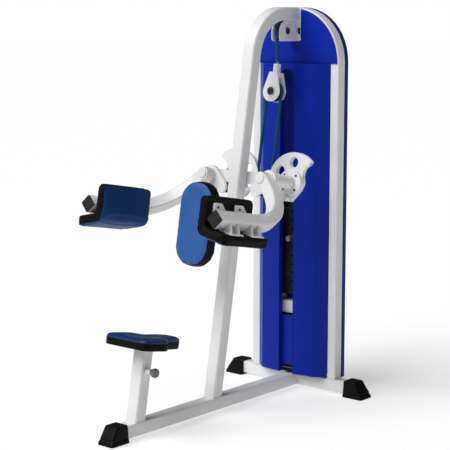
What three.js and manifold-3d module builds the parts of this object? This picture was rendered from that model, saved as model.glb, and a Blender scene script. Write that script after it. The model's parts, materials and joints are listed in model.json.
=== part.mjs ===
import * as THREE from 'three';
import { mergeVertices } from 'three/addons/utils/BufferGeometryUtils.js';
import Module from 'manifold-3d';

// Seated lateral raise machine with a selector weight stack. Millimetres, +Z up.
// The user straddles the saddle at -Y and faces the chest pad and the weight tower at +Y.
// Inside the machine group, y = 0 is the front plane of the tower's arch.

// ---- Frame ----
const FRAME_Y = 582.65;             // arch front plane, measured from the part's origin
const TUBE = 60;                    // width of the frame tubes across the machine
const LEAN = Math.atan(0.178);      // backward lean of both posts and of the arm axles
const BEAM_BOTTOM = 10;
const BEAM_TOP = 67;
const BEAM_FRONT = -1143;           // front end of the main beam, where its foot cap starts
const CROSS_HALF = 302;             // half length of the rear cross beam
const ARCH_DEPTH = 52.5;
const ARCH_OUTER = 245;
const ARCH_INNER = 200;
const ARCH_CENTRE_Z = 1522;
const POST_DEPTH = 58.3;            // depth of the leaning tubes, square to their run
const POST_FOOT_Y = -574.4;         // centre of the front post where it meets the beam
const POST_BEND = 207;              // bend radius of the post's centre line
const TOP_Z = ARCH_CENTRE_Z + ARCH_OUTER;
const GAP = 0.3;                    // clearance between neighbouring parts

// ---- Arms, in the leaning frame of each axle: u outward, s along the axle, w up ----
const AXLE_X = 165;
const HUB_Y = -458;
const HUB_Z = 1038;
const ARM_TUBE = 58;
const ARM_ANGLE = THREE.MathUtils.degToRad(44.8);   // arm plane below horizontal
const ARM_S = 33.6;                 // tube centre at the hub, along the axle
const ARM_REACH = 272;              // radius of the straight run from the axle
const ARM_BEND = 262;
const ARM_END_S = -484;
const HOUSING_R = 29;
const SHAFT_R = 16.9;
const BORE_R = 17.15;               // facets of the bore clear the shaft by 0.1
const CABLE_S = 242;                // plane of the cams, the pulley block and the cable legs
const CAM_CABLE_R = 124;            // radius at which the cable winds on the cam
const CAM_RIM = 136;
const PAD_FRONT_S = -489;
const PAD_BACK_S = -192;
const PAD_INNER_U = 101;            // face of the pad's upright leg, toward the user
const PAD_THICK = 44;
const PAD_FOAM = 14;                // depth of the soft facing on the pad's body
const PAD_SLOPE = Math.tan(THREE.MathUtils.degToRad(12.5));   // lower leg falls outward

const CHEST_FACE_S = -207;
const CHEST_BACK_S = -150;

// ---- Cable and pulleys ----
const CABLE_R = 7;
const GROOVE_HALF = CABLE_R + GAP;   // half width of every cable groove
const TOP_AXLE_Z = 1660;
const TOP_AXLE_Y = [-94.5, -9.5];
const TOP_WHEEL_R = 39.5;           // cable radius on the two top pulleys
const BLOCK_AXLE_W = 401;
const BLOCK_WHEEL_R = 41;
const BLOCK_TOP_W = 526;

// ---- Weight stack ----
const PLATES = 10;
const PLATE_PITCH = 41.1;
const STACK_Z = 440;
const STACK_Y = 30;
const ROD_X = 101;
const ROD_R = 9;
const PIN_PLATE = 7;                // plate the selector pin sits in, counted from the bottom

// ---- Seat, in the leaning frame of the seat post: x, t toward the tower, h up ----
const SEAT_FOOT_Y = -1061.15;
const SEAT_TUBE_TOP = 303;
const SEAT_BASE_H = 308;
const SEAT_PIN_H = 212;

const PAINT = { color: 0xe9e9ef, roughness: 0.35, metalness: 0.1 };
const BLUE = { color: 0x142c90, roughness: 0.3, metalness: 0.0 };
const REAR_BLUE = { color: 0x0c1e70, roughness: 0.4, metalness: 0.0 };
const CHEST_BLUE = { color: 0x2e5c99, roughness: 0.6, metalness: 0.0 };
const PAD_BLUE = { color: 0x16336f, roughness: 0.6, metalness: 0.0 };
const BLACK = { color: 0x101010, roughness: 0.5, metalness: 0.0 };
const GREY = { color: 0x303033, roughness: 0.5, metalness: 0.0 };
const STEEL = { color: 0xb8babd, roughness: 0.25, metalness: 1.0 };
const IRON = { color: 0x1b1c1f, roughness: 0.5, metalness: 0.4 };
const CABLE = { color: 0x0a4a56, roughness: 0.5, metalness: 0.0 };
const WHITE_RUBBER = { color: 0xdcdcdc, roughness: 0.8, metalness: 0.0 };

const X_AXIS = new THREE.Vector3(1, 0, 0);
const wasm = await Module();
wasm.setup();

// ---- Solid helpers ----
function clean(geometry) {
  geometry.deleteAttribute('normal');
  geometry.deleteAttribute('uv');
  return mergeVertices(geometry, 1e-4);
}

function toManifold(geometry) {
  const mesh = clean(geometry.clone());
  return new wasm.Manifold(new wasm.Mesh({
    numProp: 3,
    vertProperties: Float32Array.from(mesh.attributes.position.array),
    triVerts: Uint32Array.from(mesh.index.array),
  }));
}

function fromManifold(solid) {
  const mesh = solid.getMesh();
  const geometry = new THREE.BufferGeometry();
  geometry.setAttribute('position', new THREE.BufferAttribute(mesh.vertProperties, 3));
  geometry.setIndex(new THREE.BufferAttribute(mesh.triVerts, 1));
  return geometry;
}

function join(...pieces) {
  return fromManifold(pieces.map(toManifold).reduce((a, b) => a.add(b)));
}

function cut(body, ...tools) {
  return fromManifold(tools.map(toManifold).reduce((a, b) => a.subtract(b), toManifold(body)));
}

function overlap(...pieces) {
  return fromManifold(pieces.map(toManifold).reduce((a, b) => a.intersect(b)));
}

function mirrored(geometry) {
  const copy = clean(geometry.clone());
  copy.scale(-1, 1, 1);
  const index = copy.index.array;
  for (let i = 0; i < index.length; i += 3) {
    [index[i], index[i + 1]] = [index[i + 1], index[i]];
  }
  return copy;
}

// Outline through [x, y, radius] corners, each rounded to its own radius.
function rounded(corners, steps = 4) {
  return corners.flatMap(([x, y, radius = 0], i) => {
    const corner = new THREE.Vector2(x, y);
    if (radius === 0) {
      return [corner];
    }
    const [px, py] = corners[(i + corners.length - 1) % corners.length];
    const [nx, ny] = corners[(i + 1) % corners.length];
    const back = new THREE.Vector2(px, py).sub(corner).normalize();
    const ahead = new THREE.Vector2(nx, ny).sub(corner).normalize();
    const half = Math.acos(back.dot(ahead)) / 2;
    const centre = back.clone().add(ahead).normalize()
      .multiplyScalar(radius / Math.sin(half)).add(corner);
    const start = back.multiplyScalar(radius / Math.tan(half)).add(corner).sub(centre).angle();
    const end = ahead.multiplyScalar(radius / Math.tan(half)).add(corner).sub(centre).angle();
    const turn = Math.atan2(Math.sin(end - start), Math.cos(end - start));
    return Array.from({ length: steps + 1 }, (_, k) => {
      const angle = start + turn * k / steps;
      return new THREE.Vector2(radius, 0).rotateAround(new THREE.Vector2(), angle).add(centre);
    });
  });
}

function box2(halfX, halfY, radius = 0, steps = 3) {
  return rounded([[halfX, -halfY, radius], [halfX, halfY, radius],
    [-halfX, halfY, radius], [-halfX, -halfY, radius]], steps);
}

function arc(cx, cy, radius, from, to, steps) {
  return Array.from({ length: steps + 1 }, (_, k) => {
    const angle = THREE.MathUtils.degToRad(from + (to - from) * k / steps);
    return new THREE.Vector2(cx + radius * Math.cos(angle), cy + radius * Math.sin(angle));
  });
}

function circle(cx, cy, radius, steps = 18) {
  return arc(cx, cy, radius, 0, 360, steps).slice(0, -1);
}

// Prism between two stations on an axis. The outline is (y, z) for x, (x, z) for y, (x, y) for z.
function prism(axis, outline, from, to, { holes = [], bevel = 0 } = {}) {
  const shape = new THREE.Shape(outline);
  shape.holes = holes.map((hole) => new THREE.Path(hole));
  const geometry = new THREE.ExtrudeGeometry(shape, {
    depth: to - from - 2 * bevel,
    bevelEnabled: bevel > 0,
    bevelSize: bevel,
    bevelThickness: bevel,
    bevelOffset: -bevel,
    bevelSegments: 1,
  });
  geometry.translate(0, 0, bevel);
  if (axis === 'y') {
    return geometry.rotateX(Math.PI / 2).translate(0, to, 0);
  }
  if (axis === 'x') {
    return geometry.rotateX(Math.PI / 2).rotateZ(Math.PI / 2).translate(from, 0, 0);
  }
  return geometry.translate(0, 0, from);
}

function rod(axis, a, b, radius, from, to, steps = 20) {
  return prism(axis, circle(a, b, radius, steps), from, to);
}

function block(x0, x1, y0, y1, z0, z1) {
  return new THREE.BoxGeometry(x1 - x0, y1 - y0, z1 - z0)
    .translate((x0 + x1) / 2, (y0 + y1) / 2, (z0 + z1) / 2);
}

// Closed skin through rings of equal point count, each ring convex and right-handed about the run.
function loft(rings) {
  const n = rings[0].length;
  const last = (rings.length - 1) * n;
  const index = [];
  for (let start = 0; start < last; start += n) {
    for (let i = 0; i < n; i += 1) {
      const a = start + i;
      const b = start + (i + 1) % n;
      index.push(a, b, b + n, a, b + n, a + n);
    }
  }
  for (let i = 1; i < n - 1; i += 1) {
    index.push(0, i + 1, i, last, last + i, last + i + 1);
  }
  const points = rings.flat().flatMap((p) => [p.x, p.y, p.z]);
  const geometry = new THREE.BufferGeometry();
  geometry.setAttribute('position', new THREE.Float32BufferAttribute(points, 3));
  geometry.setIndex(index);
  return geometry;
}

// Section swept along a path that lies in one plane; section y points along the plane's normal.
function sweep(path, section, normal) {
  return loft(path.map((point, i) => {
    const before = path[Math.max(i - 1, 0)];
    const after = path[Math.min(i + 1, path.length - 1)];
    const side = normal.clone().cross(after.clone().sub(before)).normalize();
    return section.map((p) => point.clone().addScaledVector(side, p.x)
      .addScaledVector(normal, p.y));
  }));
}

function cable(path, normal = X_AXIS) {
  return sweep(path, circle(0, 0, CABLE_R, 8), normal);
}

// Body turned about an axis parallel to x or y, from [radius, station] pairs.
function turned(axis, profile, a, b, steps = 24) {
  const points = profile.map(([radius, station]) => new THREE.Vector2(radius, station));
  const geometry = new THREE.LatheGeometry(points, steps);
  if (axis === 'x') {
    return geometry.rotateZ(-Math.PI / 2).translate(0, a, b);
  }
  return geometry.translate(a, 0, b);
}

// Grooved pulley centred on station mid, with its cable at radius r.
function pulley(axis, r, mid, a, b) {
  const rim = r + 2.5;
  const floor = r - CABLE_R - GAP;
  const half = GROOVE_HALF + 3.2;
  return turned(axis, [[8.3, mid - half], [rim - 1, mid - half], [rim, mid - half + 1],
    [floor, mid - GROOVE_HALF], [floor, mid + GROOVE_HALF], [rim, mid + half - 1],
    [rim - 1, mid + half], [8.3, mid + half], [8.3, mid - half]], a, b);
}

// Through bolt with a flat head at each end.
function bolt(axis, headR, half, mid, a, b) {
  return turned(axis, [[0, mid - half], [headR, mid - half], [headR, mid - 23], [8, mid - 23],
    [8, mid + 23], [headR, mid + 23], [headR, mid + half], [0, mid + half]], a, b, 14);
}

// ---- Assembly helpers ----
function add(parent, name, geometry, finish) {
  const solid = clean(geometry.clone());
  solid.computeVertexNormals();
  const mesh = new THREE.Mesh(solid, new THREE.MeshStandardMaterial(finish));
  mesh.name = name;
  parent.add(mesh);
}

function addPair(groups, name, geometry, finish) {
  add(groups.right, `${name}_right`, geometry, finish);
  add(groups.left, `${name}_left`, mirrored(geometry), finish);
}

function leaning(parent, x, y, z) {
  const group = new THREE.Group();
  group.position.set(x, y, z);
  group.rotation.x = -LEAN;
  parent.add(group);
  return group;
}

function hubPoint(x, s, w) {
  return new THREE.Vector3(x, s, w).applyAxisAngle(X_AXIS, -LEAN)
    .add(new THREE.Vector3(0, HUB_Y, HUB_Z));
}

// ---- Base and frame tubes ----
function footCap(halfTop, halfFoot, topReach, footReach) {
  const levels = [[0, halfFoot, footReach], [16, halfFoot - 0.5, footReach - 4],
    [22, halfFoot - 4, footReach - 10], [28, halfFoot - 3, footReach - 10],
    [66, halfTop + 1, topReach + 4], [75, halfTop - 3, topReach - 3]];
  return loft(levels.map(([z, half, reach]) => rounded([[-half, 0], [half, 0],
    [half, reach, 12], [-half, reach, 12]], 3).map((p) => new THREE.Vector3(p.x, p.y, z))));
}

function addBase(machine) {
  const height = (BEAM_TOP - BEAM_BOTTOM) / 2;
  const beam = box2(TUBE / 2, height, 6).map((p) => p.add(new THREE.Vector2(0, BEAM_BOTTOM + height)));
  add(machine, 'main_beam', prism('y', beam, BEAM_FRONT, -GAP), PAINT);
  const cross = beam.map((p) => new THREE.Vector2(p.x * ARCH_DEPTH / TUBE + ARCH_DEPTH / 2, p.y));
  add(machine, 'rear_cross_beam', prism('x', cross, -CROSS_HALF, CROSS_HALF), PAINT);
  const front = footCap(36, 44, 63, 99).rotateZ(Math.PI).translate(0, BEAM_FRONT - GAP, 0);
  add(machine, 'foot_cap_front', front, BLACK);
  const side = footCap(36, 44, 62, 104).rotateZ(-Math.PI / 2)
    .translate(CROSS_HALF + GAP, ARCH_DEPTH / 2, 0);
  addPair({ right: machine, left: machine }, 'foot_cap', side, BLACK);
}

// Side outline (y, z) of the front post: leaning run, bend and level run to the tower.
function postOutline() {
  const half = POST_DEPTH / 2;
  const centreZ = TOP_Z - half - POST_BEND;
  const centreY = POST_FOOT_Y + (centreZ - BEAM_TOP) * Math.tan(LEAN) + POST_BEND / Math.cos(LEAN);
  const from = 180 - THREE.MathUtils.radToDeg(LEAN);
  const footHalf = half / Math.cos(LEAN);
  const footY = POST_FOOT_Y + GAP * Math.tan(LEAN);
  return [
    new THREE.Vector2(footY + footHalf, BEAM_TOP + GAP),
    ...arc(centreY, centreZ, POST_BEND - half, from, 90, 14),
    new THREE.Vector2(-6 - GAP, TOP_Z - POST_DEPTH),
    new THREE.Vector2(-6 - GAP, TOP_Z),
    ...arc(centreY, centreZ, POST_BEND + half, 90, from, 14),
    new THREE.Vector2(footY - footHalf, BEAM_TOP + GAP),
  ];
}

function archOutline(outer, inner, foot, steps = 24) {
  const skin = [new THREE.Vector2(outer, foot), ...arc(0, ARCH_CENTRE_Z, outer, 0, 180, steps),
    new THREE.Vector2(-outer, foot)];
  if (inner === 0) {
    return skin;
  }
  return [...skin, new THREE.Vector2(-inner, foot),
    ...arc(0, ARCH_CENTRE_Z, inner, 180, 0, steps), new THREE.Vector2(inner, foot)];
}

// Arm and back plate that carry the chest pad, welded to the front of the post.
function chestBracket() {
  const arm = block(-25, 25, -145.5, 30, -230, -180);
  const plate = block(-60, 60, CHEST_BACK_S + GAP, -144, -290, -120);
  return join(arm, plate).rotateX(-LEAN).translate(0, HUB_Y, HUB_Z);
}

function addFrame(machine) {
  const post = prism('x', postOutline(), -TUBE / 2, TUBE / 2, { bevel: 5 });
  add(machine, 'front_post', join(post, chestBracket()), PAINT);
  const arch = archOutline(ARCH_OUTER, ARCH_INNER, BEAM_TOP + GAP);
  add(machine, 'arch_column', prism('y', arch, 0, ARCH_DEPTH, { bevel: 4 }), PAINT);
}

// ---- Tower covers ----
const SHROUD_HALF = [[199.7, 0], [150, -43], [90, -50], [40, -54.5]];
const SHROUD_INNER = [[194, 0], [148.6, -39.8], [89.6, -47], [39.8, -51.5]];
const SLOT_HALF = 40;
const SLOT_TOP = 1493;
const SHROUD_BOTTOM = 73;
const SHROUD_TOP = 1515;

function bothSides(half) {
  const right = half.map(([x, y]) => new THREE.Vector2(x, y));
  return [...right, ...half.map(([x, y]) => new THREE.Vector2(-x, y)).reverse()];
}

// Blue front shell with the tall slot, its closed top and the recessed channel below the stack.
function shroud() {
  const outer = bothSides(SHROUD_HALF);
  const shell = [...outer, ...bothSides(SHROUD_INNER).reverse()];
  const lid = prism('z', outer, SHROUD_TOP - 3, SHROUD_TOP);
  const slot = rounded([[-SLOT_HALF, 0], [SLOT_HALF, 0], [SLOT_HALF, SLOT_TOP, 39.9],
    [-SLOT_HALF, SLOT_TOP, 39.9]], 8);
  const lips = [[-1, SLOT_HALF], [1, SLOT_HALF]].map(([side, x]) => prism('y',
    rounded([[side * x, SHROUD_BOTTOM], [side * (x + 4), SHROUD_BOTTOM],
      [side * (x + 4), 1440], [side * x, 1440]], 1), -53, -30));
  const floor = block(-SLOT_HALF - 2, SLOT_HALF + 2, -33, -30, SHROUD_BOTTOM, 345);
  return join(cut(prism('z', shell, SHROUD_BOTTOM, SHROUD_TOP), prism('y', slot, -70, -40)),
    lid, ...lips, floor);
}

function addCovers(machine) {
  add(machine, 'front_shroud', shroud(), BLUE);
  const notch = block(-36, 36, -20, 20, 1614.5, 1800);
  const face = archOutline(239, 0, SHROUD_TOP + GAP, 28);
  add(machine, 'upper_cover', cut(prism('y', face, -6, -GAP, { bevel: 1.5 }), notch), BLUE);
  const back = prism('y', archOutline(ARCH_OUTER, 0, 70), ARCH_DEPTH + GAP, 77, { bevel: 2 });
  const hollow = prism('y', archOutline(ARCH_OUTER - 3, 0, 73), ARCH_DEPTH - 5, 74.5);
  add(machine, 'rear_cover', cut(back, hollow), REAR_BLUE);
}

// ---- Weight stack ----
const PLATE_THICK = PLATE_PITCH - GAP;
const PIN_Z = STACK_Z + (PIN_PLATE - 0.5) * PLATE_PITCH;
const ROD_TOP_Z = STACK_Z + PLATES * PLATE_PITCH + 72;

function stackPlate(z, thick, bore) {
  const outline = rounded([[170, -10, 5], [170, 70, 5], [-170, 70, 5], [-170, -10, 5]], 2);
  const holes = [circle(-ROD_X, STACK_Y, ROD_R + 1.5, 10), circle(ROD_X, STACK_Y, ROD_R + 1.5, 10),
    circle(0, STACK_Y, bore, 12)];
  return prism('z', outline, z, z + thick, { holes });
}

function addStack(machine) {
  const beam = rounded([[186, 52], [-186, 52], [-186, 1], [-168, -15], [168, -15], [186, 1]], 3);
  add(machine, 'stack_support_beam', prism('z', beam, 350, 409.7, { bevel: 3 }), PAINT);
  for (const [side, x] of [['right', ROD_X], ['left', -ROD_X]]) {
    add(machine, `guide_rod_${side}`, rod('z', x, STACK_Y, ROD_R, 410, 1684, 12), STEEL);
    const ring = prism('z', circle(x, STACK_Y, 35, 20), 410, STACK_Z - GAP,
      { holes: [circle(x, STACK_Y, ROD_R + 3 * GAP, 12)] });
    add(machine, `stack_bumper_${side}`, ring, WHITE_RUBBER);
  }
  for (let i = 0; i < PLATES; i += 1) {
    const z = STACK_Z + i * PLATE_PITCH;
    const pinHole = rod('y', 0, z + PLATE_THICK / 2, 5.6, -20, STACK_Y, 8);
    const name = `weight_plate_${String(i + 1).padStart(2, '0')}`;
    add(machine, name, cut(stackPlate(z, PLATE_THICK, 14), pinHole), IRON);
  }
}

// Head plate with the selector rod that hangs from it through every plate.
function addSelector(machine) {
  const holes = Array.from({ length: PLATES }, (_, i) => {
    const z = STACK_Z + i * PLATE_PITCH + PLATE_THICK / 2;
    return rod('y', 0, z, 5.6, STACK_Y - 20, STACK_Y + 20, 8);
  });
  const stem = cut(rod('z', 0, STACK_Y, 12.5, STACK_Z + 4, ROD_TOP_Z, 14), ...holes);
  const plate = stackPlate(STACK_Z + PLATES * PLATE_PITCH, 38, 12);
  add(machine, 'weight_head', join(plate, stem), IRON);
  const z = PIN_Z - GAP / 2;
  const pin = turned('y', [[0, -46], [11, -46], [14, -42], [14, -14], [4.8, -14], [4.8, 38],
    [3, 41], [0, 41]], 0, z, 14);
  add(machine, 'selector_pin', pin, GREY);
}

// ---- Cable over the top pulleys ----
function addTopPulleys(machine) {
  const side = rounded([[-143, 1615, 18], [-3, 1615], [-3, 1708.4], [-143, 1708.4, 50]], 6);
  const window = block(-12, 12, -20, 20, 1600, 1712);
  const bolts = TOP_AXLE_Y.map((y) => bolt('x', 11, 31, 0, y, TOP_AXLE_Z));
  const flange = cut(block(-35.7, 35.7, -6, -GAP, 1617.3, 1765), window);
  const plates = [19, -24].map((x) => prism('x', side, x, x + 5));
  add(machine, 'pulley_bracket', join(flange, ...plates, ...bolts), PAINT);
  TOP_AXLE_Y.forEach((y, i) => {
    const place = i === 0 ? 'front' : 'rear';
    add(machine, `top_pulley_${place}`, pulley('x', TOP_WHEEL_R, 0, y, TOP_AXLE_Z), BLACK);
  });
}

function addTopCable(machine) {
  const turn = (y, from, to) => arc(y, TOP_AXLE_Z, TOP_WHEEL_R, from, to, 8);
  const over = [...turn(TOP_AXLE_Y[0], 180, 90), ...turn(TOP_AXLE_Y[1], 90, 0)]
    .map((p) => new THREE.Vector3(0, p.x, p.y));
  add(machine, 'cable_over_pulleys', cable(over), CABLE);
  const frontY = TOP_AXLE_Y[0] - TOP_WHEEL_R;
  const toBlock = [hubPoint(0, CABLE_S, BLOCK_TOP_W + 2.2),
    new THREE.Vector3(0, frontY, TOP_AXLE_Z - 1)];
  add(machine, 'cable_to_block', cable(toBlock), CABLE);
  const toStack = [new THREE.Vector3(0, STACK_Y, ROD_TOP_Z + GAP),
    new THREE.Vector3(0, STACK_Y, TOP_AXLE_Z - 1)];
  add(machine, 'cable_to_stack', cable(toStack), CABLE);
}

// ---- Floating pulley block between the two cams ----
function yokeOutline() {
  const w = BLOCK_AXLE_W;
  return [...arc(0, w, 47, -200, 20, 18), new THREE.Vector2(22, w + 87), new THREE.Vector2(-22, w + 87)];
}

function addPulleyBlock(machine) {
  const hub = leaning(machine, 0, HUB_Y, HUB_Z);
  const plates = [CABLE_S - 24, CABLE_S + 20].map((s) => prism('y', yokeOutline(), s, s + 4));
  const bridge = block(-20, 20, CABLE_S - 22, CABLE_S + 22, BLOCK_AXLE_W + 66, BLOCK_AXLE_W + 86);
  const stem = rod('z', 0, CABLE_S, 17, BLOCK_AXLE_W + 80, BLOCK_TOP_W, 24);
  const axle = bolt('y', 18, 29, CABLE_S, 0, BLOCK_AXLE_W);
  add(hub, 'block_yoke', join(bridge, ...plates, stem, axle), PAINT);
  add(hub, 'block_wheel', pulley('y', BLOCK_WHEEL_R, CABLE_S, 0, BLOCK_AXLE_W), BLACK);
  const loop = arc(0, BLOCK_AXLE_W, BLOCK_WHEEL_R, 0, 180, 12)
    .map((p) => new THREE.Vector3(p.x, CABLE_S, p.y));
  add(hub, 'cable_block_loop', cable(loop, new THREE.Vector3(0, 1, 0)), CABLE);
  const leg = rod('z', BLOCK_WHEEL_R, CABLE_S, CABLE_R, -3, BLOCK_AXLE_W - 1, 8);
  addPair({ right: hub, left: hub }, 'cable_leg', leg, CABLE);
}

// ---- Arms ----
function armPoint(radius, s) {
  return new THREE.Vector3(radius * Math.cos(ARM_ANGLE), s, -radius * Math.sin(ARM_ANGLE));
}

// Height of the upper face of a pad's lower leg at distance u from the axle.
function padTop(u) {
  return -225 - (u - PAD_INNER_U - PAD_THICK) * PAD_SLOPE;
}

function padBrackets() {
  const pieces = [];
  for (const s of [-412, -279]) {
    const tab = rounded([[s - 40, -127, 6], [s - 34, -194], [s + 34, -194], [s + 34, -160, 6],
      [s + 2, -127, 6]], 2);
    pieces.push(prism('x', tab, PAD_INNER_U + PAD_THICK + GAP, 157));
    const foot = [188, 250, 250, 188].map((u, i) => new THREE.Vector2(u,
      padTop(u) + (i < 2 ? 2 * GAP : 5)));
    pieces.push(prism('y', foot, s - 34, s + 44));
    for (const web of [s - 20, s + 26]) {
      const outline = [[198, padTop(198) + 2], [244, padTop(244) + 2], [232, -202], [222, -200],
        [200, -222]].map(([x, y]) => new THREE.Vector2(x, y));
      pieces.push(prism('y', outline, web, web + 5));
    }
  }
  return pieces;
}

function armTube() {
  const centre = ARM_S - ARM_BEND;
  const start = ARM_REACH - ARM_BEND;
  const bend = arc(start, centre, ARM_BEND, 90, 0, 12).map((p) => armPoint(p.x, p.y));
  const path = [armPoint(0, ARM_S), ...bend, armPoint(ARM_REACH, ARM_END_S + GAP)];
  const half = ARM_TUBE / 2;
  const normal = new THREE.Vector3(Math.sin(ARM_ANGLE), 0, Math.cos(ARM_ANGLE));
  const hub = rod('y', 0, 0, half, ARM_S - half + 0.01, ARM_S + half - 0.01, 24);
  const body = join(sweep(path, box2(half, half, 5, 1), normal), hub, stopLever(), ...padBrackets());
  return cut(body, rod('y', 0, 0, BORE_R, -10, 90, 24));
}

// Shaft with its round head in front of the arm's hub.
function armShaft() {
  const neck = ARM_S - ARM_TUBE / 2 - 4 * GAP;
  return turned('y', [[0, 0], [20, 0], [22, 2], [22, neck], [SHAFT_R, neck],
    [SHAFT_R, CABLE_S + 8], [0, CABLE_S + 8]], 0, 0, 24);
}

function endCap() {
  const centre = armPoint(ARM_REACH, 0);
  const outline = box2(ARM_TUBE / 2, ARM_TUBE / 2, 5, 1).map((p) => p.rotateAround(new THREE.Vector2(),
    -ARM_ANGLE).add(new THREE.Vector2(centre.x, centre.z)));
  return prism('y', outline, ARM_END_S - 6, ARM_END_S, { bevel: 2 });
}

// Plate behind the hub that carries the rubber stop.
function stopLever() {
  const outline = [...arc(0, 0, 41, -38, 128, 18), ...arc(-66, -52, 28, 128, 322, 18)];
  return prism('y', outline, 62, 76);
}

const CAM_EDGE = [[-112, -24, 8], [-64, -84, 12], [2, -84, 10], [43, -37, 12], [58, -8, 8],
  [60, 9, 8], [53, 33, 8], [54, 51, 8], [62, 70, 8], [86, 87, 6]];

function cam() {
  const rim = arc(0, 0, CAM_RIM, 47, 178, 22).map((p) => [p.x, p.y]);
  const outline = rounded([...rim, ...CAM_EDGE], 2);
  const holes = [circle(0, 91, 23), circle(-71, 48.5, 24), circle(-82, -22, 20)];
  const half = GROOVE_HALF + 3.2;
  const plate = prism('y', outline, CABLE_S - half, CABLE_S + half, { holes });
  const floor = CAM_CABLE_R - CABLE_R - GAP;
  const groove = [...arc(0, 0, CAM_RIM + 12, 30, 195, 12), ...arc(0, 0, floor, 195, 30, 26)];
  const boss = rod('y', -8, -70, 10, CABLE_S - 42, CABLE_S - 7, 20);
  const flange = prism('y', circle(0, 0, 60, 28), 214, CABLE_S - 7);
  const body = join(cut(plate, prism('y', groove, CABLE_S - GROOVE_HALF, CABLE_S + GROOVE_HALF)), boss, flange);
  return cut(body, rod('y', 0, 0, BORE_R, 200, 260, 24));
}

function addArms(machine) {
  const groups = { right: leaning(machine, AXLE_X, HUB_Y, HUB_Z),
    left: leaning(machine, -AXLE_X, HUB_Y, HUB_Z) };
  addPair(groups, 'arm_tube', armTube(), PAINT);
  addPair(groups, 'arm_end_cap', endCap(), GREY);
  addPair(groups, 'arm_shaft', armShaft(), STEEL);
  const bumper = rounded([[-95, -75, 8], [-36, -75, 8], [-36, -28, 4], [-95, -28, 4]], 3);
  addPair(groups, 'stop_bumper', prism('y', bumper, 76.3, 112, { bevel: 2 }), BLACK);
  addPair(groups, 'cam', cam(), PAINT);
  addArmPads(groups);
}

// Crossbar behind the post with a bearing housing welded on each end.
function addCrossbar(machine) {
  const bar = block(-AXLE_X, AXLE_X, 85, 138, -27, 27);
  const ends = [-AXLE_X, AXLE_X];
  const housings = ends.map((x) => rod('y', x, 0, HOUSING_R, 78, 212, 28));
  const bores = ends.map((x) => rod('y', x, 0, BORE_R, 60, 230, 24));
  add(leaning(machine, 0, HUB_Y, HUB_Z), 'arm_crossbar', cut(join(bar, ...housings), ...bores), PAINT);
}

// L-shaped layer of an arm pad, from depth near to depth far behind its outer face.
function padLayer(near, far) {
  const fall = Math.hypot(1, PAD_SLOPE);
  const face = (u, depth) => -261 - (u - PAD_INNER_U) * PAD_SLOPE + depth * fall;
  const end = (depth) => 254 + depth * PAD_SLOPE / fall;
  const [a, b] = [near, far].map((depth) => PAD_INNER_U + depth);
  const outline = rounded([[a, -98], [a, face(a, near), Math.max(34 - near, 4)],
    [end(near), face(end(near), near)], [end(far), face(end(far), far)],
    [b, face(b, far), Math.max(34 - far, 4)], [b, -98]], 5);
  const layer = prism('y', outline, PAD_FRONT_S, PAD_BACK_S);
  const side = rounded([[PAD_FRONT_S, -400], [PAD_BACK_S, -400], [PAD_BACK_S, -98, 25],
    [PAD_FRONT_S, -98, 25]], 4);
  const plan = rounded([[0, PAD_FRONT_S], [265, PAD_FRONT_S, 25], [265, PAD_BACK_S, 25],
    [0, PAD_BACK_S]], 4);
  return overlap(layer, prism('x', side, 0, 400), prism('z', plan, -400, 0));
}

function addArmPads(groups) {
  addPair(groups, 'arm_pad_cushion', padLayer(0, PAD_FOAM), PAD_BLUE);
  addPair(groups, 'arm_pad_board', padLayer(PAD_FOAM + GAP, PAD_THICK), BLACK);
}

// ---- Chest pad ----
function padOutline(half, bottom, top) {
  const radius = half - 6;
  return rounded([[half, bottom, radius], [half, top, radius], [-half, top, radius],
    [-half, bottom, radius]], 8);
}

function addChestPad(machine) {
  const hub = leaning(machine, 0, HUB_Y, HUB_Z);
  add(hub, 'chest_pad_board', prism('y', padOutline(95, -410, -41), CHEST_FACE_S + 10,
    CHEST_BACK_S, { bevel: 3 }), BLACK);
  const cushion = prism('y', padOutline(94, -409, -42), CHEST_FACE_S, CHEST_FACE_S + 10 - GAP,
    { bevel: 4 });
  add(hub, 'chest_pad_cushion', cushion, CHEST_BLUE);
}

// ---- Seat ----
function seatOutline(grow) {
  const half = new THREE.Shape();
  half.moveTo(0, -128 - grow);
  half.lineTo(70, -128 - grow);
  half.bezierCurveTo(112, -128 - grow, 127 + grow, -108, 127 + grow, -66);
  half.lineTo(127 + grow, -8);
  half.bezierCurveTo(127 + grow, 26, 96 + grow, 34, 86 + grow, 58);
  half.lineTo(72 + grow, 128);
  half.bezierCurveTo(66 + grow, 146, 42, 178 + grow, 16, 193 + grow);
  half.lineTo(0, 193 + grow);
  const right = half.getPoints(6);
  return [...right, ...right.slice(1, -1).map((p) => new THREE.Vector2(-p.x, p.y)).reverse()];
}

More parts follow.
